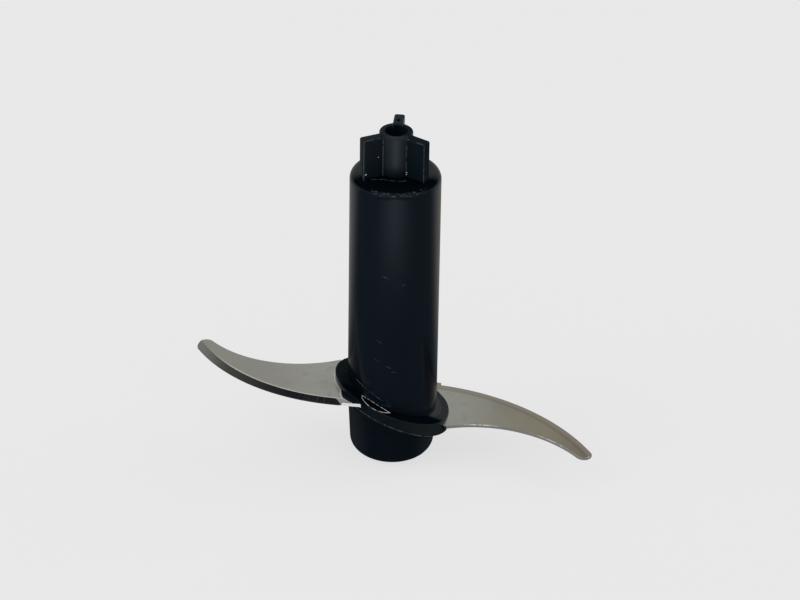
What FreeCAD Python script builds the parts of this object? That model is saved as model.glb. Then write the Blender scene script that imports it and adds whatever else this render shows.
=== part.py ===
import FreeCAD, Part
import math
import os
import re
import Sketcher

# Food processor blade: a tall moulded hub with a star coupling on top, an inclined collar
# near its foot, and one cranked S-shaped steel plate held in that collar.
# Millimetres, +Z up. The origin is the hub's axis at the flat ring it stands on.
# The wings reach along X: the high wing to -X, the low wing to +X.

DRIVING_SIZES = {
    # heights above the standing ring, and of the coupling above the shoulder
    "shoulder_height": 89.8,
    "collar_height": 18.5,
    "coupling_height": 12.35,
    # stem and base
    "stem_top_dia": 25.0,
    "stem_foot_dia": 25.2,
    "base_dia": 23.8,
    "base_round": 3.7,
    "shoulder_round": 2.3,
    # inclined collar
    "collar_dia": 32.3,
    "collar_band": 4.2,
    "collar_slope": 23.6,
    "collar_turn_angle": 13.0,
    "rim_round": 0.5,
    # star coupling
    "tube_dia": 9.2,
    "tube_round": 0.4,
    "socket_dia": 6.25,
    "socket_depth": 16.0,
    "fin_reach": 10.3,
    "fin_thickness": 2.9,
    "fin_drop": 0.45,
    "fin_corner": 0.7,
    "fin_round": 0.35,
    "fin_count": 3,
    "fin_turn_angle": 85.0,
    # spindle bore in the foot
    "bore_dia": 8.0,
    "bore_depth": 42.0,
    "bore_chamfer": 0.8,
    # steel plate: the high wing lies under the collar's rim, the low wing just over it;
    # the crank's bends and the start of the wings' droop are measured in from the rim
    "plate_thickness": 1.0,
    "plate_eye_dia": 13.0,
    "high_wing_cover": 2.36,
    "low_wing_lift": 0.26,
    "crank_inset": 7.15,
    "droop_inset": 3.15,
    "wing_droop": 2.3,
    # outline of one wing, out from the axis; its leading side is its front
    "wing_reach": 56.1,
    "tip_radius": 2.4,
    "tip_back": 17.4,
    "leading_radius": 56.9,
    "leading_root_inset": 0.27,
    "leading_root_angle": 67.8,
    "trailing_radius": 33.5,
    "trailing_root_outset": 0.63,
    "trailing_root_angle": 28.1,
    # outline between the wings, inside the hub
    "neck_reach": 0.5,
    "neck_width": 18.0,
    "notch_inset": 4.65,
    "notch_width": 7.6,
    # ground edges: the grinding starts at this reach and runs on past the tip's turn
    "bevel_width": 2.0,
    "edge_land": 0.25,
    "bevel_start": 14.0,
    "bevel_run_on_angle": 8.0,
}

# what follows from the sizes above, as expressions of their names
TOTAL_HEIGHT = "(shoulder_height + coupling_height)"
RIM_RISE = "(collar_dia / 2 * tan(collar_slope * 1deg))"
WING_HEIGHTS = {
    "high": f"(collar_height + {RIM_RISE} - high_wing_cover)",
    "low": f"(collar_height - {RIM_RISE} + low_wing_lift)",
}
CRANK_REACH = "(collar_dia / 2 - crank_inset)"
DROOP_START = "(collar_dia / 2 - droop_inset)"
LEADING_ROOT = (
    "((collar_dia / 2 - leading_root_inset) * cos(leading_root_angle * 1deg))",
    "((collar_dia / 2 - leading_root_inset) * sin(leading_root_angle * 1deg))",
)
TRAILING_ROOT = (
    "((collar_dia / 2 + trailing_root_outset) * cos(trailing_root_angle * 1deg))",
    "(-(collar_dia / 2 + trailing_root_outset) * sin(trailing_root_angle * 1deg))",
)
TIP_CENTRE = ("(wing_reach - tip_radius)", "(-tip_back)")
NECK_CORNERS = {
    "neck": ("neck_reach", "neck_width / 2"),
    "notch": ("(collar_dia / 2 - notch_inset)", "notch_width / 2"),
}

doc = FreeCAD.newDocument("food_processor_blade")


def make_sheet():
    sheet = doc.addObject("Spreadsheet::Sheet", "sizes")
    for row, (alias, size) in enumerate(DRIVING_SIZES.items(), start=1):
        sheet.set(f"A{row}", alias)
        sheet.set(f"B{row}", str(size))
        sheet.setAlias(f"B{row}", alias)
    doc.recompute()
    return sheet


sheet = make_sheet()


def value(expression):
    """The number that an expression of the sheet's aliases gives."""
    result = sheet.evalExpression(expression)
    return float(getattr(result, "Value", result))


def bind(obj, prop, expression):
    """Tie a property to the sheet, with the aliases written as in value()."""
    words = "|".join(DRIVING_SIZES)
    obj.setExpression(prop, re.sub(rf"\b({words})\b", r"sizes.\1", expression))


def origin_plane(body, role):
    return next(item for item in body.Origin.OriginFeatures if item.Role == role)


def new_sketch(body, name, role):
    sketch = body.newObject("Sketcher::SketchObject", name)
    sketch.AttachmentSupport = [(origin_plane(body, role), "")]
    sketch.MapMode = "FlatFace"
    return sketch


def pin_value(sketch, kind, where, name, expression):
    """Add one driving constraint and tie it to the sheet."""
    index = sketch.addConstraint(Sketcher.Constraint(kind, *where, value(expression)))
    sketch.renameConstraint(index, name)
    bind(sketch, f"Constraints.{name}", expression)


def pin_point(sketch, geometry, end, name, across, up):
    """Hold one point of a sketch at two expressions, measured from the sketch's origin."""
    for kind, axis, expression in (("DistanceX", -2, across), ("DistanceY", -1, up)):
        if expression is None:
            continue
        if expression == "0":
            sketch.addConstraint(Sketcher.Constraint("PointOnObject", geometry, end, axis))
        else:
            where = (-1, 1, geometry, end)
            pin_value(sketch, kind, where, f"{name}_{kind[-1].lower()}", expression)


def closed_outline(sketch, corners):
    """Lines through named corners, each held by its two expressions.

    A corner is (name, across, up, radius): a radius makes the step to the next corner a
    quarter round, bulging away from the sketch's lower left.
    """
    points = []
    for _, across, up, _ in corners:
        points.append(FreeCAD.Vector(value(across), value(up), 0))
    count = len(corners)
    for index, (name, _, _, radius) in enumerate(corners):
        start, finish = points[index], points[(index + 1) % count]
        if radius is None:
            sketch.addGeometry(Part.LineSegment(start, finish), False)
            continue
        middle = round_middle(start, finish, value(radius))
        sketch.addGeometry(Part.Arc(start, middle, finish), False)
        pin_value(sketch, "Radius", (index,), f"{name}_round", radius)
    for index, (name, across, up, _) in enumerate(corners):
        join(sketch, (index - 1) % count, points[index], index)
        pin_point(sketch, index, end_at(sketch, index, points[index]), name, across, up)


def end_at(sketch, geometry, spot):
    """Which end of a sketch edge (1 or 2) lies nearer to a given point."""
    gaps = [sketch.getPoint(geometry, end).distanceToPoint(spot) for end in (1, 2)]
    return 1 if gaps[0] < gaps[1] else 2


def round_middle(start, finish, radius):
    """The middle of an arc of this radius that bulges to the right of start to finish."""
    chord = finish - start
    half = chord.Length / 2
    rise = radius - math.sqrt(max(radius * radius - half * half, 0.0))
    outward = FreeCAD.Vector(chord.y, -chord.x, 0)
    outward.normalize()
    return (start + finish) * 0.5 + outward * rise


def hub_section(body):
    """The hub turned about its axis: base, stem, shoulder and the coupling's tube."""
    sketch = new_sketch(body, "hub_section", "XZ_Plane")
    corners = [
        ("foot_centre", "0", "0", None),
        ("foot_ring", "base_dia / 2 - base_round", "0", "base_round"),
        ("base_side", "base_dia / 2", "base_round", None),
        ("stem_foot", "stem_foot_dia / 2", "collar_height", None),
        ("stem_top", "stem_top_dia / 2", "shoulder_height - shoulder_round", "shoulder_round"),
        ("shoulder", "stem_top_dia / 2 - shoulder_round", "shoulder_height", None),
        ("tube_foot", "tube_dia / 2", "shoulder_height", None),
        ("tube_side", "tube_dia / 2", f"{TOTAL_HEIGHT} - tube_round", "tube_round"),
        ("tube_rim", "tube_dia / 2 - tube_round", TOTAL_HEIGHT, None),
        ("tube_centre", "0", TOTAL_HEIGHT, None),
    ]
    closed_outline(sketch, corners)
    turned = body.newObject("PartDesign::Revolution", "hub_turned")
    turned.Profile = sketch
    turned.ReferenceAxis = (sketch, ["V_Axis"])
    turned.Angle = 360
    return turned


def inclined_collar(body):
    """A disc with an upright wall between two parallel planes that slope down towards +X.

    Its upper rim is rounded; its lower rim is the moulding's parting edge and stays sharp.
    """
    side = new_sketch(body, "collar_side", "XZ_Plane")
    downhill = FreeCAD.Rotation(FreeCAD.Vector(0, 1, 0), value("collar_turn_angle"))
    side.AttachmentOffset = FreeCAD.Placement(FreeCAD.Vector(0, 0, 0), downhill)
    fall = "collar_dia * tan(collar_slope * 1deg)"
    corners = [
        ("high_top", "-collar_dia", f"collar_height + {fall}", None),
        ("high_under", "-collar_dia", f"collar_height + {fall} - collar_band", None),
        ("low_under", "collar_dia", f"collar_height - {fall} - collar_band", None),
        ("low_top", "collar_dia", f"collar_height - {fall}", None),
    ]
    closed_outline(side, corners)
    slab = body.newObject("PartDesign::Pad", "collar_slab")
    slab.Profile = side
    slab.Midplane = True
    bind(slab, "Length", "2 * collar_dia")
    plan = new_sketch(body, "collar_plan", "XY_Plane")
    add_circle(plan, "collar_wall", "collar_dia / 2")
    add_surround(plan, "2 * collar_dia")
    trim_round(body, "collar_trim", plan)
    doc.recompute()
    rims = {edge.CenterOfMass.z: number for number, edge in edges_of(body) if not is_straight(edge)}
    rounded(body, "upper_rim", [rims[max(rims)]], "rim_round")


def trim_round(body, name, sketch):
    """Cut away what lies between the sketch's surround and its inner outline."""
    trim = body.newObject("PartDesign::Pocket", name)
    trim.Profile = sketch
    trim.Type = "ThroughAll"
    trim.Midplane = True


def edges_of(body):
    return enumerate(body.Shape.Edges, start=1)


def is_straight(edge):
    return isinstance(edge.Curve, Part.Line)


def rounded(body, name, numbers, radius):
    """Round the edges that have these numbers in the body's shape."""
    base = body.Tip
    fillet = body.newObject("PartDesign::Fillet", name)
    fillet.Base = (base, [f"Edge{number}" for number in numbers])
    bind(fillet, "Radius", radius)


def coupling_fins(body):
    """The star's radial fins, each standing on the shoulder against the tube."""
    sketch = new_sketch(body, "fin_plan", "XY_Plane")
    turn = FreeCAD.Rotation(FreeCAD.Vector(0, 0, 1), value("fin_turn_angle"))
    sketch.AttachmentOffset = FreeCAD.Placement(FreeCAD.Vector(0, 0, 0), turn)
    bind(sketch, "AttachmentOffset.Base.z", "shoulder_height - shoulder_round")
    root = "(tube_dia + socket_dia) / 4"
    corners = [
        ("inner_right", root, "-fin_thickness / 2", None),
        ("end_right", "fin_reach - fin_corner", "-fin_thickness / 2", "fin_corner"),
        ("face_right", "fin_reach", "fin_corner - fin_thickness / 2", None),
        ("face_left", "fin_reach", "fin_thickness / 2 - fin_corner", "fin_corner"),
        ("end_left", "fin_reach - fin_corner", "fin_thickness / 2", None),
        ("inner_left", root, "fin_thickness / 2", None),
    ]
    closed_outline(sketch, corners)
    fin = body.newObject("PartDesign::Pad", "fin")
    fin.Profile = sketch
    bind(fin, "Length", "coupling_height - fin_drop + shoulder_round")
    star = body.newObject("PartDesign::PolarPattern", "fin_star")
    star.Originals = [fin]
    star.Axis = (origin_plane(body, "Z_Axis"), [""])
    star.Angle = 360
    bind(star, "Occurrences", "fin_count")
    body.Tip = star
    doc.recompute()
    rounded(body, "fin_ridges", fin_ridges(body), "fin_round")


def fin_ridges(body):
    """The edges round each fin's top, outside the tube."""
    top, tube = value(f"{TOTAL_HEIGHT} - fin_drop"), value("tube_dia / 2")
    ridges = []
    for number, edge in edges_of(body):
        level = max(abs(vertex.Z - top) for vertex in edge.Vertexes) < 1e-4
        farthest = max(math.hypot(vertex.X, vertex.Y) for vertex in edge.Vertexes)
        if level and farthest > tube + 1e-4:
            ridges.append(number)
    return ridges


def round_pocket(body, name, height, diameter, depth, upwards):
    sketch = new_sketch(body, f"{name}_mouth", "XY_Plane")
    if height != "0":
        bind(sketch, "AttachmentOffset.Base.z", height)
    add_circle(sketch, "mouth", f"{diameter} / 2")
    pocket = body.newObject("PartDesign::Pocket", name)
    pocket.Profile = sketch
    pocket.Reversed = upwards
    bind(pocket, "Length", depth)
    return pocket


def bore_lead_in(body):
    """A small cone that guides the spindle into its bore."""
    sketch = new_sketch(body, "lead_in_section", "XZ_Plane")
    mouth = "bore_dia / 2 + bore_chamfer"
    corners = [
        ("mouth_centre", "0", "0", None),
        ("mouth_edge", mouth, "0", None),
        ("wall_foot", "bore_dia / 2", "bore_chamfer", None),
        ("wall_centre", "0", "bore_chamfer", None),
    ]
    closed_outline(sketch, corners)
    lead_in = body.newObject("PartDesign::Groove", "lead_in")
    lead_in.Profile = sketch
    lead_in.ReferenceAxis = (sketch, ["V_Axis"])
    lead_in.Angle = 360
    return lead_in


def make_hub_moulding():
    body = doc.addObject("PartDesign::Body", "hub_moulding")
    inclined_collar(body)
    hub_section(body)
    coupling_fins(body)
    round_pocket(body, "drive_socket", TOTAL_HEIGHT, "socket_dia", "socket_depth", False)
    round_pocket(body, "spindle_bore", "0", "bore_dia", "bore_depth", True)
    bore_lead_in(body)
    return body


def plate_band(body):
    """The plate seen from the side: two drooping wings joined by the sloping crank."""
    sketch = new_sketch(body, "plate_side", "XZ_Plane")
    tip = "(wing_reach + plate_thickness)"
    drop = f"tan(wing_droop * 1deg) * ({tip} - {DROOP_START})"
    high, low = WING_HEIGHTS["high"], WING_HEIGHTS["low"]
    corners = [
        ("high_tip", f"-{tip}", f"{high} - {drop}", None),
        ("high_tip_low", f"-{tip}", f"{high} - {drop} - plate_thickness", None),
        ("high_root_low", f"-{DROOP_START}", f"{high} - plate_thickness", None),
        ("high_crank_low", f"-{CRANK_REACH}", f"{high} - plate_thickness", None),
        ("low_crank_low", CRANK_REACH, f"{low} - plate_thickness", None),
        ("low_root_low", DROOP_START, f"{low} - plate_thickness", None),
        ("low_tip_low", tip, f"{low} - {drop} - plate_thickness", None),
        ("low_tip", tip, f"{low} - {drop}", None),
        ("low_root", DROOP_START, low, None),
        ("low_crank", CRANK_REACH, low, None),
        ("high_crank", f"-{CRANK_REACH}", high, None),
        ("high_root", f"-{DROOP_START}", high, None),
    ]
    closed_outline(sketch, corners)
    band = body.newObject("PartDesign::Pad", "plate_band")
    band.Profile = sketch
    band.Midplane = True
    bind(band, "Length", "2 * wing_reach")
    return band


def arc_centre(root, tip_centre, from_root, from_tip):
    """The point behind a wing at these distances from its root and its tip's centre."""
    along = tip_centre - root
    gap = along.Length
    along.normalize()
    behind = FreeCAD.Vector(along.y, -along.x, 0)
    reach = (from_root**2 - from_tip**2 + gap**2) / (2 * gap)
    return root + along * reach + behind * math.sqrt(from_root**2 - reach**2)


def on_arc(centre, radius, towards):
    outward = towards - centre
    outward.normalize()
    return centre + outward * radius


def wing_spots():
    """Where the low wing's arcs have their centres and ends. Its front faces +Y."""
    tip, lead, trail = (value(f"{name}_radius") for name in ("tip", "leading", "trailing"))
    lead_root, trail_root, tip_centre = (
        FreeCAD.Vector(value(across), value(up), 0)
        for across, up in (LEADING_ROOT, TRAILING_ROOT, TIP_CENTRE)
    )
    lead_centre = arc_centre(lead_root, tip_centre, lead, lead - tip)
    trail_centre = arc_centre(trail_root, tip_centre, trail, trail + tip)
    lead_end = on_arc(lead_centre, lead, tip_centre)
    trail_end = on_arc(trail_centre, trail, tip_centre)
    chord = trail_end - lead_end
    beyond = tip_centre + FreeCAD.Vector(-chord.y, chord.x, 0)
    return {
        "lead_root": lead_root,
        "lead_middle": on_arc(lead_centre, lead, (lead_root + lead_end) * 0.5),
        "lead_end": lead_end,
        "tip_middle": on_arc(tip_centre, tip, beyond),
        "trail_end": trail_end,
        "trail_middle": on_arc(trail_centre, trail, (trail_root + trail_end) * 0.5),
        "trail_root": trail_root,
        "tip_centre": tip_centre,
        "lead_centre": lead_centre,
    }


def wing_outline(sketch, side):
    """One wing: convex leading edge, round tip and hollow trailing edge, all tangent.

    side is +1 for the low wing; -1 is the same outline turned half a turn, the high wing.
    """
    label, sign = ("low", "") if side > 0 else ("high", "-")
    spots = {name: spot * side for name, spot in wing_spots().items()}
    lead = len(sketch.Geometry)
    tip, trail = lead + 1, lead + 2
    for trio in (
        ("lead_root", "lead_middle", "lead_end"),
        ("lead_end", "tip_middle", "trail_end"),
        ("trail_end", "trail_middle", "trail_root"),
    ):
        sketch.addGeometry(Part.Arc(*(spots[name] for name in trio)), False)
    for one, other, spot in ((lead, tip, "lead_end"), (tip, trail, "trail_end")):
        ends = [end_at(sketch, item, spots[spot]) for item in (one, other)]
        sketch.addConstraint(Sketcher.Constraint("Tangent", one, ends[0], other, ends[1]))
    for arc, name in ((lead, "leading"), (tip, "tip"), (trail, "trailing")):
        pin_value(sketch, "Radius", (arc,), f"{label}_{name}_radius", f"{name}_radius")
    lead_end = end_at(sketch, lead, spots["lead_root"])
    trail_end = end_at(sketch, trail, spots["trail_root"])
    for arc, end, name, (across, up) in (
        (lead, lead_end, "lead_root", LEADING_ROOT),
        (trail, trail_end, "trail_root", TRAILING_ROOT),
        (tip, 3, "tip_centre", TIP_CENTRE),
    ):
        pin_point(sketch, arc, end, f"{label}_{name}", f"{sign}{across}", f"{sign}{up}")
    return lead, trail, spots


def join(sketch, one, spot, other):
    ends = [end_at(sketch, item, spot) for item in (one, other)]
    sketch.addConstraint(Sketcher.Constraint("Coincident", one, ends[0], other, ends[1]))


def plate_outline(body):
    """Trim the band to the S outline: two wings joined by a neck inside the hub."""
    sketch = new_sketch(body, "plate_plan", "XY_Plane")
    wings = {side: wing_outline(sketch, side) for side in (1, -1)}
    for side, label, sign, other_sign in ((1, "low", "", "-"), (-1, "high", "-", "")):
        # from this wing's leading root past the eye to the other wing's trailing root
        lead, _, spots = wings[side]
        _, far_trail, far_spots = wings[-side]
        corners = [spots["lead_root"]]
        for across, up in NECK_CORNERS.values():
            corners.append(FreeCAD.Vector(-side * value(across), side * value(up), 0))
        corners.append(far_spots["trail_root"])
        entry = len(sketch.Geometry)
        for start, finish in zip(corners, corners[1:]):
            sketch.addGeometry(Part.LineSegment(start, finish), False)
        chain = (lead, entry, entry + 1, entry + 2, far_trail)
        for one, spot, other in zip(chain, corners, chain[1:]):
            join(sketch, one, spot, other)
        for line, (name, (across, up)) in enumerate(NECK_CORNERS.items(), start=entry):
            pin_point(sketch, line, 2, f"{label}_{name}", f"{other_sign}{across}", f"{sign}{up}")
    add_circle(sketch, "eye", "plate_eye_dia / 2")
    add_surround(sketch, "wing_reach + 3 * plate_thickness")
    trim_round(body, "plate_trim", sketch)


def add_circle(sketch, name, radius):
    index = len(sketch.Geometry)
    axis = FreeCAD.Vector(0, 0, 1)
    sketch.addGeometry(Part.Circle(FreeCAD.Vector(0, 0, 0), axis, value(radius)), False)
    sketch.addConstraint(Sketcher.Constraint("Coincident", index, 3, -1, 1))
    pin_value(sketch, "Radius", (index,), name, radius)


def add_surround(sketch, reach):
    """A square round the whole outline: what lies between the two is cut away."""
    first = len(sketch.Geometry)
    half = value(reach)
    around = ((-1, -1), (1, -1), (1, 1), (-1, 1))
    corners = [FreeCAD.Vector(half * x, half * y, 0) for x, y in around]
    for index, corner in enumerate(corners):
        sketch.addGeometry(Part.LineSegment(corner, corners[(index + 1) % 4]), False)
    for index, (x, y) in enumerate(around):
        join(sketch, first + (index - 1) % 4, corners[index], first + index)
        across = reach if x > 0 else f"-({reach})"
        up = reach if y > 0 else f"-({reach})"
        pin_point(sketch, first + index, 1, f"surround_{index}", across, up)


def ground_bevel(body, side):
    """Grind one wing's leading edge: part of a cone about the edge's own centre."""
    label = "low" if side > 0 else "high"
    spots = wing_spots()
    centre = spots["lead_centre"]
    droop = value("wing_droop")
    droop_start = value(DROOP_START)
    inboard = droop_start - centre.x
    tip = spots["lead_end"] - centre
    past_tip = math.degrees(math.atan2(tip.y, tip.x)) - value("bevel_run_on_angle")
    root_turn = math.degrees(math.acos((value("bevel_start") - centre.x) / value("leading_radius")))
    leaning = FreeCAD.Rotation(FreeCAD.Vector(0, 1, 0), side * droop)
    facing = FreeCAD.Rotation(FreeCAD.Vector(0, 0, 1), (past_tip + root_turn) / 2)
    half_turn = FreeCAD.Rotation(FreeCAD.Vector(0, 0, 1), 0 if side > 0 else 180)
    upright = FreeCAD.Rotation(FreeCAD.Vector(1, 0, 0), 90)
    along = side * (droop_start - inboard * math.cos(math.radians(droop)))
    height = value(WING_HEIGHTS[label]) + inboard * math.sin(math.radians(droop))
    sketch = new_sketch(body, f"{label}_bevel_section", "XY_Plane")
    turned = leaning.multiply(half_turn).multiply(facing).multiply(upright)
    place = FreeCAD.Vector(along, side * centre.y, height)
    sketch.AttachmentOffset = FreeCAD.Placement(place, turned)
    fall = "(plate_thickness - edge_land)"
    outside = "leading_radius + bevel_width"
    corners = [
        ("bevel_top", "leading_radius - bevel_width", "0", None),
        ("beyond_edge", outside, f"-2 * {fall}", None),
        ("above_edge", outside, "plate_thickness", None),
        ("above_top", "leading_radius - bevel_width", "plate_thickness", None),
    ]
    closed_outline(sketch, corners)
    before = body.Shape.Volume
    bevel = body.newObject("PartDesign::Groove", f"{label}_bevel")
    bevel.Profile = sketch
    bevel.ReferenceAxis = (sketch, ["V_Axis"])
    bevel.Midplane = True
    bevel.Angle = root_turn - past_tip
    doc.recompute()
    if body.Shape.Volume > before - 1:
        raise RuntimeError(f"{label} bevel removed nothing")


def make_plate():
    body = doc.addObject("PartDesign::Body", "plate")
    body.Label = "s_blade"
    plate_band(body)
    plate_outline(body)
    doc.recompute()
    for side in (-1, 1):
        ground_bevel(body, side)
    return body


def moulded_round(moulding, plate):
    """The hub as it sets round the plate."""
    hub = doc.addObject("Part::Cut", "hub_round_plate")
    hub.Label = "hub"
    hub.Base = moulding
    hub.Tool = plate
    return hub


def check_document():
    for item in doc.Objects:
        if "Invalid" in item.State or "Error" in item.State:
            raise RuntimeError(f"{item.Label} failed: {item.State}")


def write_parts(parts):
    os.makedirs("parts", exist_ok=True)
    for part in parts:
        if part.Shape.isNull() or not part.Shape.isValid():
            raise RuntimeError(f"{part.Label} has no valid shape")
        part.Shape.exportStep(f"parts/{part.Label}.step")
        solids = len(part.Shape.Solids)
        print(f"{part.Label}: {solids} solid, {part.Shape.Volume:.0f} mm3, {part.Shape.BoundBox}")


plate = make_plate()
hub = moulded_round(make_hub_moulding(), plate)
doc.recompute()
check_document()
write_parts([hub, plate])
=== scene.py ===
import math
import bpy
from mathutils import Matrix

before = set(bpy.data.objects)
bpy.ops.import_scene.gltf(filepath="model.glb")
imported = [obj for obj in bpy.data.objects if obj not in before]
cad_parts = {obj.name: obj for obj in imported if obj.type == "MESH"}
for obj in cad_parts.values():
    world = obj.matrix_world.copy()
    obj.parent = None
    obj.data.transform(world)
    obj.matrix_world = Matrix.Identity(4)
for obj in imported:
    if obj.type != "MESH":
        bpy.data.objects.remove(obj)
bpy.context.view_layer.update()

from types import SimpleNamespace

import bpy
from mathutils import Matrix, Vector

MM = 0.001

# Places on the blade in metres, as the CAD has them. The leading edge is an arc seen from above,
# given for the wing at +X. The collar falls by COLLAR_FALL for each metre along +X and along +Y.
LEADING_CENTRE = (0.00516, -0.04219)
LEADING_RADIUS = 0.0569
BEVEL_WIDTH = 0.002
BEVEL_START = 0.014
COLLAR_RADIUS = 0.01615
COLLAR_HEIGHT = 0.0185
COLLAR_FALL = (0.4257, 0.0983)
STEM_RADIUS = 0.0125
SHOULDER_HEIGHT = 0.0898
TOP_HEIGHT = 0.10215
FIN_TURN = math.radians(85.0)
FIN_HALF_SHARE = math.radians(60.0)
LOW_WING_HEIGHT = 0.0117
DROOP_START = 0.013
WING_FALL = math.tan(math.radians(2.3))

# Limits in metres that tell the parts of the hub apart.
STEM_LIMIT = 0.0129
FOOT_LIMIT = 0.0140
FOOT_TOP = 0.016
LID_LIMIT = 0.03
FIN_TOPS = 0.095

# How far up a face of the plate looks, from 0 on an upright face to 1 on a level one.
LEVEL = 0.985
FACED = 0.5
UPRIGHT = 0.4

# Where the camera stands: its height angle, its roll, its distance and what it aims at.
ELEVATION = math.radians(32.13)
ROLL = math.radians(0.953)
DISTANCE = 0.9
AIM = Vector((0.00175, 0.0, 0.048413))
FOCAL_LENGTH = 145.8
SENSOR_WIDTH = 36.0

# Softboxes: name, place, width and height in metres, and power in watts.
SOFTBOXES = (
    ("softbox_left", (-0.9, -0.2, 0.9), (0.7, 0.7), 5.0),
    ("softbox_right", (0.9, 0.3, 0.8), (0.6, 0.6), 3.0),
)

# Scratches on the stem's front: place round it, height and half length in mm, and turn.
STEM_STROKES = (
    (-3.96, 42.2, 0.75, -31.0),
    (-4.75, 36.1, 0.95, -24.0),
    (-1.27, 34.2, 0.80, -25.0),
    (0.41, 32.6, 0.90, -6.0),
    (-2.44, 63.3, 0.85, -24.0),
    (2.79, 60.9, 0.55, 25.0),
)

# Painted glints on the coupling, at the feet of the fins and the tube: place and size in mm.
COUPLING_GLINTS = (
    (-8.0, -5.3, 91.4, 0.20),
    (3.0, -3.8, 91.4, 0.17),
    (2.9, -3.7, 90.8, 0.17),
    (-4.7, -3.8, 96.0, 0.09),
    (2.6, -3.6, 94.8, 0.10),
)

# The painted highlight along a fin's outer corner and the one at its foot on the tube: out and
# aside.
FIN_CORNER = (0.01009, 0.001245)
FIN_INNER = (0.0045, 0.00147)

# The dark spot on the back fin's top, a hollow's painted shade: x, y times the stretch, and the
# stretch.
FIN_SPOT = (0.00053, 0.00367)
FIN_SPOT_STRETCH = 0.55

# The wavy line on the shoulder: its wave's length, its shift in turns, its height and its y.
WAVE_LENGTH, WAVE_SHIFT, WAVE_HEIGHT, WAVE_MIDDLE = 0.0108, 0.426, 0.00042, -0.00535

# The lens-shaped glint, seen square to the view. Its upper line is where these shares of across
# and up add to LENS_LINE, and its lower arc has LENS_RADIUS about LENS_CENTRE.
LENS_SHARES, LENS_LINE = (0.5105, 0.8599), 0.0079
LENS_CENTRE, LENS_RADIUS = (-0.00093, 0.018543), 0.00902
LENS_LEFT = -0.0084

# The dark wedges low on the stem, painted dark reflections. Each has an inner and an outer edge,
# given as its degrees round the stem from the front at WEDGE_HEIGHT and the degrees that it moves
# for each mm further down.
WEDGE_HEIGHT = 0.042
WEDGES = (
    ((39.3, 0.42), (47.0, 1.25)),
    ((-55.2, 0.85), (-69.5, -2.0)),
)

# How far the hub's plastic laps over the plate: in reach at each leading root, and past the
# collar's wall in front on the high wing. LOW_SKIN is as far out as it covers the low one's side.
ROOT_CLOAK = 0.0087
WIDE_LAP = 0.0019
LOW_SKIN = 0.0172

# How strongly a plain plastic surface mirrors, and the colours painted on the moulding: pale for
# marks and painted highlights, black for painted shade and dark reflections, white for glints.
PLAIN_GLOSS = 0.5
PALE = (0.22, 0.24, 0.25)
SHADE_BLACK = (0.0006, 0.0010, 0.0018)
GLINT = (0.95, 0.95, 0.95)

# The moulding's near-black, and the places where it is painted lighter or darker as light and
# shade.
PLASTIC_DEEP, PLASTIC_SOFT = (0.0030, 0.0069, 0.0115), (0.0044, 0.0089, 0.0142)
TUBE_HIGHLIGHT = (0.018, 0.025, 0.032)
FIN_FLANK_SHEEN = (0.0062, 0.0105, 0.0150)
COLLAR_WALL_SHEEN = (0.0085, 0.0130, 0.0135)
FOOT_SHADE, FOOT_SIDES_SHEEN = (0.0021, 0.0054, 0.0092), (0.012, 0.017, 0.021)
COLLAR_LEFT_SHEEN = (0.0068, 0.0105, 0.0140)

# The wings' faces.
FACE_DULL, FACE_CLEAN = (0.74, 0.74, 0.67), (0.86, 0.86, 0.79)
FACE_ROOT = (0.98, 0.98, 0.92)
YELLOWED, YELLOWED_TIP = (0.71, 0.65, 0.51), (0.55, 0.49, 0.38)
# a ground band beside the low wing's leading edge, painted darker as its reflection
EDGE_BAND_REFLECTION = (0.42, 0.38, 0.31)
STAIN, BLOT = (0.50, 0.48, 0.41), (0.42, 0.41, 0.36)

# The ground edges, the cut sides with painted highlights, the painted highlight lines and the
# plastic skin on the plate.
GROUND, GROUND_ROOT_REFLECTION, GROUND_TIP = (0.30, 0.30, 0.275), (0.080, 0.088, 0.095), (0.62, 0.62, 0.58)
GROUND_MARK, GROUND_LOW = (0.7, 0.7, 0.68), (0.60, 0.54, 0.43)
SIDE_HIGH_HIGHLIGHT = (0.98, 0.98, 0.97)
SIDE_LOW, ARRIS_LOW_HIGHLIGHT = (0.27, 0.27, 0.25), (0.98, 0.97, 0.92)
STEEL_HIGHLIGHT = (1.0, 1.0, 0.97)
SKIN_HIGH, SKIN_LOW = (0.004, 0.007, 0.010), (0.0085, 0.0130, 0.0120)

# The floor as it is lit and as it glows, and the share of the lit one that shows.
FLOOR_LIT, FLOOR_GLOW, LIT_SHARE = (0.80, 0.80, 0.80), (0.807, 0.807, 0.807), 0.14

# What reflections see: the floor in front, behind and in its far patch, and the room.
SEEN_FRONT, SEEN_BEHIND, SEEN_PATCH = (0.02, 0.02, 0.02), (0.34, 0.325, 0.30), (0.42, 0.48, 0.55)
WALL, WALL_TOP, ROOM = (0.31, 0.31, 0.30), (0.08, 0.08, 0.08), (0.09, 0.09, 0.10)
DAYLIGHT = (0.75, 0.75, 0.75)


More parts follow.
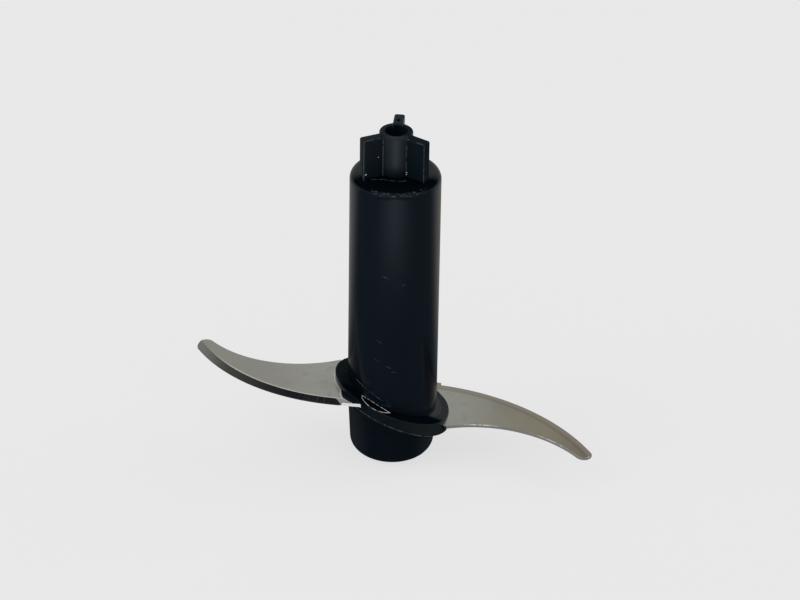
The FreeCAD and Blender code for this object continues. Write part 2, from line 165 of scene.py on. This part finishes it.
class Graph:
    """Short calls for one node tree. A value is a socket, a number or a tuple."""

    def __init__(self, tree):
        self.tree = tree
        tree.nodes.clear()

    def feed(self, socket, value):
        if isinstance(value, bpy.types.NodeSocket):
            self.tree.links.new(value, socket)
        elif isinstance(value, tuple) and len(value) == 3 and socket.type == "RGBA":
            socket.default_value = (*value, 1.0)
        else:
            socket.default_value = value

    def node(self, kind, inputs=None, **settings):
        node = self.tree.nodes.new(kind)
        for name, value in settings.items():
            setattr(node, name, value)
        for name, value in (inputs or {}).items():
            self.feed(node.inputs[name], value)
        return node

    def math(self, operation, *values):
        inputs = dict(enumerate(values))
        return self.node("ShaderNodeMath", inputs, operation=operation).outputs[0]

    def less(self, value, other):
        """The value minus the other."""
        return self.math("SUBTRACT", value, other)

    def size(self, value):
        """The value without its sign."""
        return self.math("ABSOLUTE", value)

    def above(self, value, limit):
        return self.math("GREATER_THAN", value, limit)

    def below(self, value, limit):
        return self.math("LESS_THAN", value, limit)

    def every(self, mask, *others):
        """The masks multiplied together."""
        for other in others:
            mask = self.math("MULTIPLY", mask, other)
        return mask

    def either(self, mask, *others):
        """The strongest of the masks."""
        for other in others:
            mask = self.math("MAXIMUM", mask, other)
        return mask

    def weigh(self, *pairs):
        """The sum of values, each times its number."""
        total = 0.0
        for value, weight in pairs:
            total = self.math("MULTIPLY_ADD", value, weight, total)
        return total

    def step(self, value, low, high):
        """A smooth 0 to 1 as value goes from low to high, or 1 to 0 where low is the greater."""
        flip = low > high
        ends = (high, low) if flip else (low, high)
        inputs = {"Value": value, "From Min": ends[0], "From Max": ends[1]}
        inputs |= {"To Min": float(flip), "To Max": float(not flip)}
        return self.node("ShaderNodeMapRange", inputs, interpolation_type="SMOOTHSTEP").outputs[0]

    def band(self, value, middle, half_width):
        """1 within about half_width of the middle, with soft sides."""
        gap = self.size(self.less(value, middle))
        return self.step(gap, 1.25 * half_width, 0.75 * half_width)

    def mix(self, factor, one, other):
        """The colour between one and other at factor."""
        mix = self.node("ShaderNodeMix", data_type="RGBA")
        for index, value in ((0, factor), (6, one), (7, other)):
            self.feed(mix.inputs[index], value)
        return mix.outputs[2]

    def blend(self, factor, one, other):
        """The number between one and other at factor."""
        mix = self.node("ShaderNodeMix", data_type="FLOAT")
        for index, value in ((0, factor), (2, one), (3, other)):
            self.feed(mix.inputs[index], value)
        return mix.outputs[0]

    def vector(self, x, y, z=0.0):
        return self.node("ShaderNodeCombineXYZ", {"X": x, "Y": y, "Z": z}).outputs[0]

    def distance(self, x, y, middle_x, middle_y):
        squares = [self.math("POWER", self.less(x, middle_x), 2.0)]
        squares.append(self.math("POWER", self.less(y, middle_y), 2.0))
        return self.math("SQRT", self.math("ADD", *squares))

    def noise(self, vector, scale, detail=2.0, roughness=0.5):
        inputs = {"Vector": vector, "Scale": scale, "Detail": detail, "Roughness": roughness}
        return self.node("ShaderNodeTexNoise", inputs).outputs[0]

    def patches(self, ends, *noise):
        """Soft-edged patches: the noise taken smoothly from 0 to 1 between the two ends."""
        return self.step(self.noise(*noise), *ends)

    def specks(self, vector, scale, size, share):
        """Small round marks in a random share of a texture's cells."""
        cells = self.node("ShaderNodeTexVoronoi", {"Vector": vector, "Scale": scale})
        near = self.step(cells.outputs["Distance"], size, 0.5 * size)
        chosen = self.node("ShaderNodeSeparateColor", {0: cells.outputs["Color"]}).outputs[0]
        return self.every(near, self.below(chosen, share))

    def place(self):
        """The point being shaded in the row frame, its distance from the axis, and how far up
        its face looks."""
        where = self.node("ShaderNodeTexCoord").outputs["Object"]
        x, y, z = self.node("ShaderNodeSeparateXYZ", {0: where}).outputs
        normal = self.node("ShaderNodeNewGeometry").outputs["True Normal"]
        up = self.node("ShaderNodeSeparateXYZ", {0: normal}).outputs[2]
        radius = self.distance(x, y, 0.0, 0.0)
        return SimpleNamespace(x=x, y=y, z=z, where=where, up=up, radius=radius)

    def bump(self, height, distance, strength):
        inputs = {"Height": height, "Distance": distance, "Strength": strength}
        return self.node("ShaderNodeBump", inputs).outputs[0]

    def emission(self, colour):
        return self.node("ShaderNodeEmission", {"Color": colour, "Strength": 1.0}).outputs[0]

    def join(self, factor, one, other):
        """The shader between one and other at factor."""
        return self.node("ShaderNodeMixShader", {0: factor, 1: one, 2: other}).outputs[0]

    def glossy_ray(self):
        """1 where a reflection looks, 0 where the camera or the light does."""
        return self.node("ShaderNodeLightPath").outputs["Is Glossy Ray"]

    def principled(self, **inputs):
        """The material's shader. An input's name is written with _ for its spaces."""
        named = {name.replace("_", " "): value for name, value in inputs.items()}
        shader = self.node("ShaderNodeBsdfPrincipled", named)
        self.surface(shader.outputs[0])

    def surface(self, shader):
        self.node("ShaderNodeOutputMaterial", {"Surface": shader})


def material(name):
    made = bpy.data.materials.new(name)
    made.use_nodes = True
    return made, Graph(made.node_tree)


def hub_place(graph):
    """The hub's point: where it lies round the stem, over the collar and on its fin, and which
    part of the hub it is on."""
    at = graph.place()
    at.front = graph.math("MULTIPLY", at.y, -1.0)
    at.azimuth = graph.math("ARCTAN2", at.x, at.front)
    at.arc = graph.math("MULTIPLY", at.azimuth, STEM_RADIUS)
    height = graph.weigh((at.z, 1.0), (at.x, COLLAR_FALL[0]), (at.y, COLLAR_FALL[1]))
    at.over_collar = graph.less(height, COLLAR_HEIGHT)
    at.out, at.aside = fin_place(graph, at)
    at.on_stem = graph.below(at.radius, STEM_LIMIT)
    at.on_foot = graph.every(graph.below(at.z, FOOT_TOP), graph.below(at.radius, FOOT_LIMIT))
    at.on_lid = graph.every(graph.above(at.up, 0.6), graph.below(at.z, LID_LIMIT))
    at.on_coupling = graph.above(at.z, SHOULDER_HEIGHT + 0.0001)
    at.on_tops = graph.every(graph.above(at.up, 0.9), graph.above(at.z, FIN_TOPS))
    return at


def fin_place(graph, at):
    """How far out and aside the point lies on its fin, the three fins read as one."""
    turned = graph.less(graph.math("ARCTAN2", at.y, at.x), FIN_TURN)
    folded = graph.math("WRAP", turned, FIN_HALF_SHARE, -FIN_HALF_SHARE)
    out = graph.every(at.radius, graph.math("COSINE", folded))
    aside = graph.every(at.radius, graph.math("SINE", folded))
    return out, aside


def stem_strokes(graph, at):
    """Short fine scratches on the stem's front."""
    found = []
    for along, height, half, turn in STEM_STROKES:
        cosine, sine = math.cos(math.radians(turn)), math.sin(math.radians(turn))
        aside, over = graph.less(at.arc, along * MM), graph.less(at.z, height * MM)
        length = graph.band(graph.weigh((aside, cosine), (over, sine)), 0.0, half * MM)
        across = graph.band(graph.weigh((aside, -sine), (over, cosine)), 0.0, 0.00006)
        found.append(graph.every(length, across))
    broken = graph.patches((0.42, 0.60), at.where, 1600.0, 2.0, 0.6)
    return graph.every(graph.either(*found), broken, graph.above(at.front, 0.0))


def coupling_glints(graph, at):
    """Small round pale spots, painted glints."""
    found = []
    for x, y, z, size in COUPLING_GLINTS:
        inputs = {0: at.where, 1: (x * MM, y * MM, z * MM)}
        gap = graph.node("ShaderNodeVectorMath", inputs, operation="DISTANCE").outputs["Value"]
        found.append(graph.step(gap, 1.3 * size * MM, 0.6 * size * MM))
    return graph.either(*found)


def collar_lens(graph, at):
    """The outline of a lens-shaped glint on the collar's front left, dotted and bright-ended."""
    height = graph.weigh((at.y, math.sin(ELEVATION)), (at.z, math.cos(ELEVATION)))
    line = graph.less(graph.weigh((at.x, LENS_SHARES[0]), (height, LENS_SHARES[1])), LENS_LINE)
    arc = graph.less(graph.distance(at.x, height, *LENS_CENTRE), LENS_RADIUS)
    left = graph.less(LENS_LEFT, at.x)
    outline = graph.band(graph.either(line, arc, left), 0.0, 0.00007)
    dots = graph.patches((0.44, 0.60), at.where, 1100.0, 1.0)
    ends = graph.either(graph.step(at.x, -0.0030, -0.0018), graph.step(at.x, -0.0070, -0.0080))
    strength = graph.either(graph.weigh((dots, 0.48), (1.0, 0.08)), graph.every(ends, 0.55))
    front = graph.every(graph.below(at.y, -0.009), graph.above(at.z, 0.0195))
    return graph.every(outline, strength, front)


def fin_highlight_lines(graph, at):
    """Painted highlights as pale lines along the fins' outer corners and where they meet the tube,
    and pale lines along their tops.
    """
    gap = graph.size(at.aside)
    fine = graph.noise(at.where, 900.0, 3.0, 0.6)
    left = graph.below(at.x, 0.0)
    broken = graph.blend(left, graph.step(fine, 0.46, 0.56), graph.step(fine, 0.30, 0.50))
    to_front = graph.below(graph.every(at.x, at.aside), 0.0)
    corner = graph.step(graph.distance(at.out, gap, *FIN_CORNER), 0.00022, 0.00008)
    corner = graph.every(corner, to_front, graph.weigh((broken, 0.5), (1.0, 0.5)))
    inner = graph.every(
        graph.band(gap, FIN_INNER[1], 0.00008),
        graph.band(at.out, FIN_INNER[0], 0.0002),
        broken,
    )
    ridge = graph.every(
        graph.band(gap, 0.00128, 0.00012),
        graph.above(at.z, TOP_HEIGHT - 0.0007),
        graph.step(fine, 0.48, 0.58),
    )
    return graph.every(at.on_coupling, graph.either(corner, inner, graph.every(ridge, 0.8)))


def shoulder_pale_lines(graph, at):
    """A thin wavy line before the fins, and pale streaks along the shoulder's rim."""
    fine = graph.noise(at.where, 700.0, 3.0, 0.6)
    turns = graph.weigh((at.x, math.tau / WAVE_LENGTH), (1.0, math.tau * WAVE_SHIFT))
    wave = graph.weigh((graph.math("COSINE", turns), WAVE_HEIGHT), (1.0, WAVE_MIDDLE))
    run = graph.every(graph.step(at.x, -0.0089, -0.0086), graph.step(at.x, 0.0031, 0.0028))
    bright = graph.either(
        graph.step(fine, 0.47, 0.60),
        graph.step(graph.size(graph.less(at.x, 0.0020)), 0.0011, 0.0008),
    )
    level = graph.every(graph.band(at.z, SHOULDER_HEIGHT, 0.0002), graph.above(at.up, 0.9))
    line = graph.band(graph.less(at.y, wave), 0.0, 0.00009)
    line = graph.every(line, run, bright, level)
    around = graph.vector(graph.every(at.arc, 800.0), graph.every(at.z, 4200.0))
    streaks = graph.every(
        graph.band(at.z, 0.0889, 0.00042),
        graph.patches((0.50, 0.66), around, 1.0, 3.0, 0.6),
        graph.step(graph.size(graph.less(at.x, 0.0008)), 0.0082, 0.0066),
        graph.above(at.front, 0.0),
    )
    return line, streaks


def collar_highlight_lines(graph, at):
    """Thin pale lines of painted highlight: low on the collar's wall, and where the stem meets the
    collar.
    """
    dotting = graph.patches((0.38, 0.60), at.where, 600.0, 3.0, 0.6)
    low = graph.less(at.over_collar, graph.weigh((at.x, -0.045), (1.0, -0.0037)))
    wall = graph.above(at.radius, COLLAR_RADIUS - 0.0003)
    wall_line = graph.every(graph.band(low, 0.0, 0.00010), wall, graph.step(at.y, 0.0, -0.004))
    sag = graph.less(at.over_collar, graph.weigh((at.x, -0.17), (1.0, 0.0016)))
    stem_line = graph.every(
        graph.band(sag, 0.0, 0.00009),
        at.on_stem,
        graph.below(at.x, 0.0),
        graph.above(at.front, 0.007),
        graph.below(at.z, 0.027),
    )
    return graph.every(graph.either(wall_line, stem_line), dotting)


def stem_wedge(graph, at, inner, outer):
    """A dark wedge of painted reflection low on one side of the stem, between its inner and its
    outer edge.
    """
    down = graph.every(graph.less(WEDGE_HEIGHT, at.z), 1.0 / MM)
    degrees = graph.every(at.azimuth, math.degrees(1.0))
    past_inner, past_outer = (
        graph.less(degrees, graph.weigh((down, slope), (1.0, start)))
        for start, slope in (inner, outer)
    )
    side = math.copysign(1.0, inner[0])
    wedge = graph.every(
        graph.step(graph.every(past_inner, side), -2.5, 4.0),
        graph.step(graph.every(past_outer, side), 5.0, -4.0),
        graph.step(at.z, 0.049, 0.030),
    )
    return graph.every(wedge, at.on_stem, graph.above(at.over_collar, 0.0002))


def hub_painted_shade(graph, at):
    """How black the hub looks, as painted shade and dark reflections: the collar's front, the
    shoulder, the stem's low sides, and a spot on the back fin as a hollow's painted shade."""
    rim = graph.every(at.on_lid, graph.step(at.y, -0.0056, -0.0082))
    aside = graph.step(graph.size(at.x), 0.003, 0.008)
    over = graph.less(at.z, graph.weigh((aside, -0.0006), (1.0, 0.0893)))
    shoulder = graph.every(
        graph.step(over, -0.0002, 0.0002),
        graph.below(at.z, SHOULDER_HEIGHT + 0.0004),
        graph.step(at.y, -0.0005, -0.0050),
    )
    wedges = graph.either(*(stem_wedge(graph, at, *edges) for edges in WEDGES))
    spot = graph.distance(at.x, graph.every(at.y, FIN_SPOT_STRETCH), *FIN_SPOT)
    spot = graph.every(graph.step(spot, 0.00058, 0.00036), at.on_tops)
    return graph.either(rim, shoulder, graph.every(wedges, 0.7), spot)


def hub_gloss(graph, at, dark):
    """How strongly the moulding mirrors its surroundings from place to place."""
    lid_gloss = graph.blend(graph.step(at.x, -0.012, 0.012), 0.012, 0.20)
    top_gloss = graph.blend(graph.step(at.x, -0.004, 0.004), 0.13, 0.025)
    top_gloss = graph.blend(graph.above(at.y, 0.0043), top_gloss, 0.22)
    ends = graph.every(at.on_coupling, graph.above(at.out, 0.0098), graph.below(at.up, 0.7))
    end_gloss = graph.blend(graph.above(at.x, 0.0), 0.05, 0.02)
    gloss = graph.blend(at.on_lid, PLAIN_GLOSS, lid_gloss)
    gloss = graph.blend(at.on_tops, gloss, top_gloss)
    gloss = graph.blend(ends, gloss, end_gloss)
    gloss = graph.blend(at.on_foot, gloss, 0.3)
    return graph.every(gloss, graph.less(1.0, dark))


def hub_tone(graph, at):
    """The moulding's near-black, a little lighter or darker where the photo shows it so."""
    tone = graph.mix(graph.noise(at.where, 60.0, 3.0), PLASTIC_DEEP, PLASTIC_SOFT)
    tube = graph.every(
        graph.below(at.radius, 0.0048),
        graph.step(at.front, 0.0022, 0.0046),
        graph.step(at.z, SHOULDER_HEIGHT + 0.0004, SHOULDER_HEIGHT + 0.004),
    )
    flank = graph.every(at.on_coupling, graph.step(at.x, -0.0034, -0.0050), graph.below(at.up, 0.7))
    wall = graph.every(graph.above(at.radius, COLLAR_RADIUS - 0.0002), graph.step(at.x, 0.0, 0.010))
    foot_sides = graph.every(at.on_foot, graph.step(graph.size(at.azimuth), 0.5, 1.15))
    left = graph.every(at.on_lid, graph.step(at.x, -0.009, -0.013))
    # painted light and shade: a highlight on the tube's front, sheen on the fins' left flanks, the
    # collar's right wall, its left top and the foot's sides, and shade on the foot
    for mask, colour in (
        (tube, TUBE_HIGHLIGHT),
        (flank, FIN_FLANK_SHEEN),
        (wall, COLLAR_WALL_SHEEN),
        (at.on_foot, FOOT_SHADE),
        (foot_sides, FOOT_SIDES_SHEEN),
        (left, COLLAR_LEFT_SHEEN),
    ):
        tone = graph.mix(mask, tone, colour)
    return tone


def hub_plastic():
    """Near-black glossy moulding with fine marks, pale lines and painted highlights on its upper
    edges, painted glints, and painted shade and dark reflections.
    """
    made, graph = material("hub_plastic")
    at = hub_place(graph)
    dark = hub_painted_shade(graph, at)
    strokes = stem_strokes(graph, at)
    line, streaks = shoulder_pale_lines(graph, at)
    # pale scratches, specks and lines, with painted highlights along the fins' corners and on the
    # collar
    marks = (
        (strokes, 0.42),
        (graph.specks(at.where, 330.0, 0.05, 0.10), 0.30),
        (line, 0.42),
        (streaks, 0.28),
        (fin_highlight_lines(graph, at), 0.20),
        (collar_highlight_lines(graph, at), 0.40),
    )
    pale = graph.either(*(graph.every(mask, strength) for mask, strength in marks))
    # painted glints in white: the spots on the coupling and the lens outline on the collar
    bright = graph.either(coupling_glints(graph, at), collar_lens(graph, at))
    # black painted shade and dark reflections, then pale marks and painted highlights, then white
    # glints
    colour = graph.mix(graph.every(dark, 0.8), hub_tone(graph, at), SHADE_BLACK)
    colour = graph.mix(pale, colour, PALE)
    colour = graph.mix(bright, colour, GLINT)

    haze = graph.patches((0.35, 0.75), at.where, 35.0, 5.0, 0.6)
    peel = graph.noise(at.where, 260.0, 2.0)
    graph.principled(
        Base_Color=colour,
        Roughness=graph.blend(graph.either(pale, bright), graph.blend(haze, 0.19, 0.25), 0.5),
        IOR=1.45,
        Specular_IOR_Level=hub_gloss(graph, at, dark),
        Normal=graph.bump(graph.weigh((peel, 0.12), (strokes, -0.5)), 0.00004, 0.4),
    )
    return made


def plate_place(graph):
    """The plate's point. Both wings are one outline turned, so each is read as the one at +X."""
    at = graph.place()
    side = graph.math("SIGN", at.x)
    at.reach = graph.every(at.x, side)
    out = graph.less(at.reach, LEADING_CENTRE[0])
    back = graph.less(graph.every(at.y, side), LEADING_CENTRE[1])
    at.from_centre = graph.distance(out, back, 0.0, 0.0)
    at.turn = graph.math("ARCTAN2", out, back)
    at.low = graph.above(at.x, 0.0)
    at.level = graph.above(at.up, LEVEL)
    at.faced = graph.above(at.up, FACED)
    at.tilted = graph.every(graph.below(at.up, LEVEL), at.faced)
    at.upright = graph.below(graph.size(at.up), UPRIGHT)
    wider = graph.every(graph.less(1.0, at.low), graph.step(at.y, -0.0065, -0.0125))
    at.past_lap = graph.less(at.radius, graph.weigh((wider, WIDE_LAP), (1.0, COLLAR_RADIUS)))
    return at


def face_steel(graph, at, cloud):
    """The wings' faces: lighter at the roots, stained, the low one yellowed towards its tip, with a
    ground band beside its leading edge painted darker as its reflection.
    """
    root = graph.every(graph.step(at.reach, 0.040, 0.017), graph.blend(at.low, 0.75, 0.45))
    yellowed = graph.every(at.low, graph.step(at.reach, 0.016, 0.042))
    far = graph.every(at.low, graph.step(at.reach, 0.042, 0.056))
    edge = graph.step(at.from_centre, LEADING_RADIUS - 0.0037, LEADING_RADIUS - 0.0031)
    stain = graph.patches((0.50, 0.72), at.where, 55.0, 5.0, 0.62)
    blots = graph.patches((0.56, 0.68), at.where, 420.0, 4.0, 0.6)
    blot_strength = graph.blend(graph.step(at.reach, 0.036, 0.022), 0.08, 0.20)
    face = graph.mix(cloud, FACE_DULL, FACE_CLEAN)
    for mask, colour in (
        (root, FACE_ROOT),
        (yellowed, YELLOWED),
        (far, YELLOWED_TIP),
        (graph.every(at.low, edge, at.level, 0.45), EDGE_BAND_REFLECTION),
        (graph.every(stain, 0.26), STAIN),
        (graph.every(blots, blot_strength), BLOT),
    ):
        face = graph.mix(mask, face, colour)
    return face


def ground_steel(graph, at, marks):
    """The high wing's ground edge is painted dark towards the root as a dark reflection and light
    at the tip, with coarse marks at the root. The low wing's is one tone."""
    ground = graph.mix(graph.step(at.reach, 0.050, 0.026), GROUND, GROUND_ROOT_REFLECTION)
    ground = graph.mix(graph.step(at.reach, 0.046, 0.0545), ground, GROUND_TIP)
    coarse = graph.every(graph.step(marks, 0.50, 0.62), graph.step(at.reach, 0.029, 0.021))
    ground = graph.mix(graph.every(coarse, 0.34), ground, GROUND_MARK)
    return graph.mix(at.low, ground, GROUND_LOW)


def plate_sides(graph, at):
    """Where the cut sides and the bevel's run-out get painted highlights, and how the cut sides
    look.
    """
    land = graph.every(
        graph.step(at.from_centre, LEADING_RADIUS - 0.0006, LEADING_RADIUS - 0.0003),
        graph.above(at.reach, BEVEL_START + 0.0005),
    )
    bright = graph.every(at.upright, graph.less(1.0, land))
    # the bevel runs out to a point at the root, painted light
    inside = graph.less(LEADING_RADIUS, at.from_centre)
    taper = graph.every(graph.less(at.reach, BEVEL_START), 1.2)
    run_out = graph.every(
        graph.above(inside, taper),
        at.tilted,
        graph.below(at.reach, BEVEL_START + 0.003),
    )
    bright = graph.either(bright, graph.every(run_out, 0.5))
    # along the low wing's side only the upper arris gets a painted highlight, more in some places
    # than in others
    height = graph.weigh((at.z, 1.0), (at.x, WING_FALL))
    under = graph.less(height, LOW_WING_HEIGHT + DROOP_START * WING_FALL)
    arris = graph.step(under, -0.00036, -0.00024)
    shine = graph.either(
        graph.band(at.reach, 0.0255, 0.0048),
        graph.every(graph.band(at.reach, 0.0445, 0.0040), 0.6),
        graph.step(at.reach, 0.0540, 0.0553),
        graph.every(graph.patches((0.4, 0.7), at.where, 160.0, 2.0), 0.35),
    )
    grains = graph.patches((0.45, 0.60), at.where, 1000.0, 1.0)
    sparkle = graph.weigh((grains, 0.75), (1.0, 0.35))
    low_side = graph.mix(graph.every(arris, shine, sparkle), SIDE_LOW, ARRIS_LOW_HIGHLIGHT)
    return bright, graph.mix(at.low, SIDE_HIGH_HIGHLIGHT, low_side)


def plate_highlight_lines(graph, at):
    """Fine pale lines of painted highlight: on the burr along the bevel, and at the seam where a
    wing leaves the collar.
    """
    burr = graph.every(
        graph.band(at.from_centre, LEADING_RADIUS - BEVEL_WIDTH - 0.00016, 0.00020),
        at.faced,
        graph.step(at.reach, BEVEL_START - 0.001, BEVEL_START),
        graph.step(at.reach, 0.053, 0.044),
    )
    seam = graph.every(graph.band(at.past_lap, 0.00018, 0.00014), at.level)
    return graph.either(graph.every(burr, 0.9), seam)


def plate_cloak(graph, at):
    """Where the hub's plastic lies over the plate as a thin skin: its leading roots, the low
    wing's side next to the collar, and its upper faces as far as the collar's wall."""
    return graph.either(
        graph.below(at.reach, ROOT_CLOAK),
        graph.every(at.low, at.upright, graph.below(at.radius, LOW_SKIN)),
        graph.every(at.faced, graph.step(at.past_lap, 0.0001, -0.0001)),
    )


def blade_steel():
    """Satin stamped steel with faint stains; the leading edges are ground, the cut sides painted
    bright as highlights.
    """
    made, graph = material("blade_steel")
    at = plate_place(graph)
    cloud = graph.noise(at.where, 80.0, 6.0, 0.65)
    # grinding marks run across the bevel
    across = graph.vector(graph.every(at.turn, 150.0), graph.every(at.from_centre, 90.0))
    marks = graph.noise(across, 1.0, 3.0, 0.6)
    colour = graph.mix(at.tilted, face_steel(graph, at, cloud), ground_steel(graph, at, marks))
    lines = plate_highlight_lines(graph, at)
    colour = graph.mix(graph.every(lines, graph.blend(at.low, 0.9, 0.3)), colour, STEEL_HIGHLIGHT)
    bright, cut = plate_sides(graph, at)
    colour = graph.mix(bright, colour, cut)
    bright = graph.either(bright, graph.every(lines, graph.blend(at.low, 0.42, 0.0)))
    cloak = plate_cloak(graph, at)
    colour = graph.mix(cloak, colour, graph.mix(at.low, SKIN_HIGH, SKIN_LOW))
    colour = graph.mix(graph.every(cloak, collar_lens(graph, at)), colour, GLINT)

    rough = graph.blend(at.tilted, graph.blend(cloud, 0.26, 0.36), 0.34)
    height = graph.math("ADD", graph.every(cloud, 0.3), graph.every(marks, at.tilted))
    metal = graph.blend(graph.either(bright, cloak), 1.0, graph.blend(cloak, 0.2, 0.0))
    graph.principled(
        Base_Color=colour,
        Metallic=metal,
        Roughness=graph.blend(cloak, graph.blend(bright, rough, 0.5), 0.2),
        Specular_IOR_Level=graph.blend(cloak, PLAIN_GLOSS, 0.15),
        Normal=graph.bump(height, 0.00003, 0.3),
    )
    return made


def floor_finish():
    """A pale floor that shows only a faint shadow. Reflections see it dark in front, with a
    lighter patch further out, and lighter behind."""
    made, graph = material("floor_finish")
    at = graph.place()
    lit = graph.node("ShaderNodeBsdfDiffuse", {"Color": FLOOR_LIT}).outputs[0]
    plain = graph.join(LIT_SHARE, graph.emission(FLOOR_GLOW), lit)
    behind = graph.step(at.y, 0.01, 0.09)
    far = graph.every(graph.step(at.radius, 0.108, 0.150), graph.below(at.y, 0.0))
    patch = graph.every(far, graph.step(graph.size(at.x), 0.13, 0.0))
    seen = graph.mix(patch, graph.mix(behind, SEEN_FRONT, SEEN_BEHIND), SEEN_PATCH)
    graph.surface(graph.join(graph.glossy_ray(), plain, graph.emission(seen)))
    return made


def dress(node, finish):
    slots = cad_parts[node].data.materials
    for index in range(len(slots)):
        slots[index] = finish
    if not slots:
        slots.append(finish)


def add_floor():
    bpy.ops.mesh.primitive_plane_add(size=8.0)
    floor = bpy.context.object
    floor.name = "floor"
    floor.data.materials.append(floor_finish())


def add_world():
    """An even light. Reflections see a dim room, and behind the blade a pale wall that darkens
    upwards."""
    world = bpy.data.worlds.new("studio")
    bpy.context.scene.world = world
    world.use_nodes = True
    graph = Graph(world.node_tree)
    where = graph.node("ShaderNodeTexCoord").outputs["Generated"]
    y, z = graph.node("ShaderNodeSeparateXYZ", {0: where}).outputs[1:]
    wall = graph.mix(graph.step(z, 0.55, 0.90), WALL, WALL_TOP)
    room = graph.mix(graph.step(y, 0.30, 0.72), ROOM, wall)
    seen = graph.mix(graph.glossy_ray(), DAYLIGHT, room)
    back = graph.node("ShaderNodeBackground", {"Color": seen, "Strength": 1.0})
    graph.node("ShaderNodeOutputWorld", {"Surface": back.outputs[0]})


def add_softbox(name, place, size, power):
    """An area light turned to the blade, kept out of reflections."""
    lamp = bpy.data.lights.new(name, "AREA")
    lamp.shape = "RECTANGLE"
    lamp.size, lamp.size_y = size
    lamp.energy = power
    box = bpy.data.objects.new(name, lamp)
    box.location = place
    box.visible_glossy = False
    box.rotation_euler = (AIM - Vector(place)).to_track_quat("-Z", "Y").to_euler()
    bpy.context.collection.objects.link(box)


def add_camera():
    forward = Vector((0.0, math.cos(ELEVATION), -math.sin(ELEVATION)))
    level, up = Vector((1.0, 0.0, 0.0)), Vector((0.0, math.sin(ELEVATION), math.cos(ELEVATION)))
    across = math.cos(ROLL) * level + math.sin(ROLL) * up
    upward = math.cos(ROLL) * up - math.sin(ROLL) * level
    turned = Matrix((across, upward, -forward)).transposed().to_4x4()
    lens = bpy.data.cameras.new("camera")
    lens.lens = FOCAL_LENGTH
    lens.sensor_width = SENSOR_WIDTH
    camera = bpy.data.objects.new("camera", lens)
    camera.matrix_world = Matrix.Translation(AIM - DISTANCE * forward) @ turned
    bpy.context.collection.objects.link(camera)
    bpy.context.scene.camera = camera


dress("hub", hub_plastic())
dress("s_blade", blade_steel())
add_floor()
add_world()
for softbox in SOFTBOXES:
    add_softbox(*softbox)
add_camera()
bpy.context.scene.view_settings.view_transform = "Standard"
